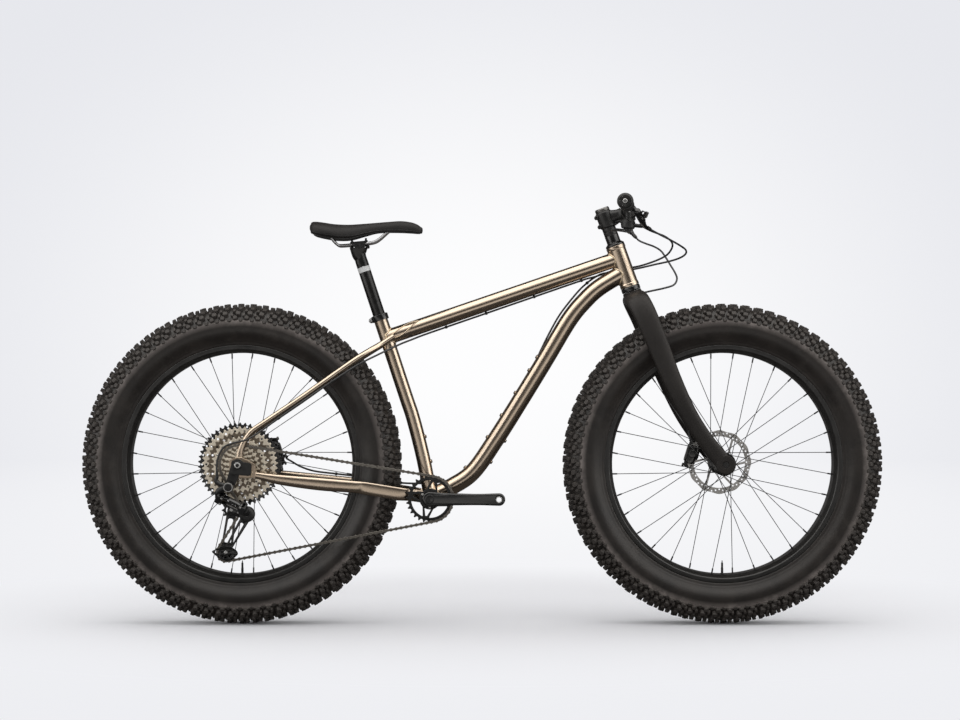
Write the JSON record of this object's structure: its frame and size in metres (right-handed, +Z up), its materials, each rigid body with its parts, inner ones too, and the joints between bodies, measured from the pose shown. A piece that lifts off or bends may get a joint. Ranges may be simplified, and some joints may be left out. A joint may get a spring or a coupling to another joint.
{
  "type": "fat tire bicycle",
  "caption": "Hardtail bicycle with very wide tyres, bare metal frame, rigid fork, disc brakes, single chainring and a wide-range rear derailleur; no pedals fitted.",
  "frame": {"origin": "on the ground, in the bicycle's middle plane, halfway between the two axles", "axes": "+X forward, +Y to the rider's left, +Z up"},
  "size_m": [1.9962, 0.7722, 1.0468],
  "materials": {
    "bare_metal": "brushed bare titanium tubes with a warm sheen and polished reflections",
    "carbon": "matt charcoal coat over carbon fibre",
    "black_alloy": "black anodised aluminium, satin",
    "black_plastic": "black moulded plastic, fine grain",
    "rubber": "soft dark grip rubber with ribs",
    "tyre": "dark brown-black tyre rubber, matt",
    "steel": "bare steel, ground and drilled discs and bare rails",
    "champagne_steel": "nickel-plated cogs with a warm tint",
    "chain": "dark grey steel with a thin oil film",
    "hose": "black nylon hose",
    "saddle_cover": "black synthetic saddle cover, finely grained"
  },
  "bodies": {
    "frame": {"head_tube": "bare_metal", "bottom_bracket_shell": "bare_metal", "down_tube": "bare_metal", "seat_tube": "bare_metal", "top_tube": "bare_metal", "drive_chain_stay": "bare_metal", "left_chain_stay": "bare_metal", "drive_seat_stay": "bare_metal", "left_seat_stay": "bare_metal", "seat_collar": "bare_metal", "lower_headset_cup": "black_alloy", "bottom_bracket": "black_alloy", "rear_axle": "black_alloy", "derailleur_hanger": "bare_metal", "b_knuckle": "black_alloy", "chain": "chain", "rear_brake_hose": "hose", "shift_housing": "hose", "rear_caliper": "black_alloy"},
    "steering": {"fork": "carbon", "headset_cover_and_spacers": "black_alloy", "stem": "black_alloy", "stem_faceplate": "black_alloy", "steerer_top_cap": "steel", "handlebar": "black_alloy", "drive_grip": "rubber", "left_grip": "rubber", "drive_master_cylinder": "black_alloy", "left_master_cylinder": "black_alloy", "front_axle": "black_alloy", "front_brake_hose": "hose", "front_caliper": "black_alloy", "shifter_pod": "black_plastic"},
    "drive_lever": {"drive_brake_lever": "black_alloy"},
    "left_lever": {"left_brake_lever": "black_alloy"},
    "upshift": {"upshift_paddle": "black_plastic"},
    "downshift": {"downshift_paddle": "black_plastic"},
    "front_wheel": {"front_tyre": "tyre", "front_rim": "black_alloy", "front_hub": "black_alloy", "front_rotor": "steel"},
    "rear_wheel": {"rear_tyre": "tyre", "rear_rim": "black_alloy", "rear_hub": "black_alloy", "rear_rotor": "steel"},
    "cogs": {"cassette": "champagne_steel"},
    "crankset": {"drive_crank_arm": "black_alloy", "left_crank_arm": "black_alloy", "chainring": "black_alloy"},
    "outer_parallel": {"outer_link": "black_alloy"},
    "inner_parallel": {"inner_link": "black_alloy"},
    "lower_knuckle": {"p_knuckle": "black_alloy"},
    "cage": {"pulley_cage": "black_alloy"},
    "guide": {"guide_pulley": "black_plastic"},
    "tension": {"tension_pulley": "black_plastic"},
    "post": {"seat_post": "black_alloy"},
    "clamp": {"clamp_cradle": "black_alloy", "clamp_top_plate": "black_alloy"},
    "seat": {"saddle": "saddle_cover", "saddle_rails": "steel"}
  },
  "joints": [
    {"name": "steer", "type": "hinge", "parent": "frame", "child": "steering", "pos_m": [0.36934, 0, 0.84041], "axis": [-0.342, 0, 0.9397], "range_deg": [-75, 75], "deforming": ["rear_brake_hose", "shift_housing"]},
    {"name": "drive_lever_pull", "type": "hinge", "parent": "steering", "child": "drive_lever", "pos_m": [0.38797, -0.234, 1.00239], "axis": [-0.5501, 0, -0.8351], "range_deg": [0, 12], "stiffness_Nm_per_rad": 1.2, "springref_deg": -14.32},
    {"name": "left_lever_pull", "type": "hinge", "parent": "steering", "child": "left_lever", "pos_m": [0.38797, 0.234, 1.00239], "axis": [0.5501, 0, 0.8351], "range_deg": [0, 12], "stiffness_Nm_per_rad": 1.2, "springref_deg": -14.32},
    {"name": "upshift_press", "type": "hinge", "parent": "steering", "child": "upshift", "pos_m": [0.34971, -0.202, 0.97001], "axis": [-0.0995, 0, -0.995], "range_deg": [0, 12], "stiffness_Nm_per_rad": 0.4, "springref_deg": -14.32},
    {"name": "downshift_press", "type": "hinge", "parent": "steering", "child": "downshift", "pos_m": [0.34927, -0.202, 0.96553], "axis": [-0.0995, 0, -0.995], "range_deg": [0, 30], "stiffness_Nm_per_rad": 0.4, "springref_deg": -14.32},
    {"name": "front_wheel_spin", "type": "hinge", "parent": "steering", "child": "front_wheel", "pos_m": [0.59956, 0, 0.3985], "axis": [0, 1, 0], "continuous": true},
    {"name": "rear_wheel_spin", "type": "hinge", "parent": "frame", "child": "rear_wheel", "pos_m": [-0.59956, 0, 0.3985], "axis": [0, 1, 0], "continuous": true},
    {"name": "crank_spin", "type": "hinge", "parent": "frame", "child": "crankset", "pos_m": [-0.12896, 0, 0.314], "axis": [0, 1, 0], "continuous": true, "deforming": ["chain"]},
    {"name": "cassette_spin", "type": "hinge", "parent": "frame", "child": "cogs", "pos_m": [-0.59956, 0, 0.3985], "axis": [0, 1, 0], "continuous": true},
    {"name": "outer_link_swing", "type": "hinge", "parent": "frame", "child": "outer_parallel", "pos_m": [-0.63349, -0.1246, 0.32384], "axis": [0.2714, 0.7826, 0.5603], "range_deg": [-43.9, 35.3]},
    {"name": "inner_link_swing", "type": "hinge", "parent": "frame", "child": "inner_parallel", "pos_m": [-0.63963, -0.1134, 0.31116], "axis": [0.2714, 0.7826, 0.5603], "range_deg": [-43.9, 35.3]},
    {"name": "lower_knuckle_swing", "type": "hinge", "parent": "outer_parallel", "child": "lower_knuckle", "pos_m": [-0.58849, -0.1246, 0.30204], "axis": [0.2714, 0.7826, 0.5603], "range_deg": [-35.3, 43.9]},
    {"name": "cage_swing", "type": "hinge", "parent": "lower_knuckle", "child": "cage", "pos_m": [-0.57836, -0.0735, 0.2776], "axis": [0, -1, 0], "range_deg": [-20, 40], "stiffness_Nm_per_rad": 0.4},
    {"name": "guide_pulley_spin", "type": "hinge", "parent": "cage", "child": "guide", "pos_m": [-0.61788, -0.0735, 0.28688], "axis": [0, 1, 0], "continuous": true},
    {"name": "tension_pulley_spin", "type": "hinge", "parent": "cage", "child": "tension", "pos_m": [-0.63218, -0.0735, 0.18215], "axis": [0, 1, 0], "continuous": true},
    {"name": "post_slide", "type": "slide", "parent": "frame", "child": "post", "axis": [-0.3123, 0, 0.95], "range_m": [-0.09, 0.05]},
    {"name": "saddle_tilt", "type": "hinge", "parent": "post", "child": "clamp", "pos_m": [-0.30821, 0, 0.95365], "axis": [0, 1, 0], "range_deg": [-10, 10]},
    {"name": "saddle_slide", "type": "slide", "parent": "clamp", "child": "seat", "axis": [0.9957, 0, 0.0926], "range_m": [-0.012, 0.02]}
  ],
  "couplings": [
    {"joint": "cassette_spin", "follows": "crank_spin", "ratio": 1.1667},
    {"joint": "guide_pulley_spin", "follows": "crank_spin", "ratio": -2.5455},
    {"joint": "tension_pulley_spin", "follows": "crank_spin", "ratio": 2.5455},
    {"joint": "inner_link_swing", "follows": "outer_link_swing", "ratio": 1},
    {"joint": "lower_knuckle_swing", "follows": "outer_link_swing", "ratio": -1}
  ]
}
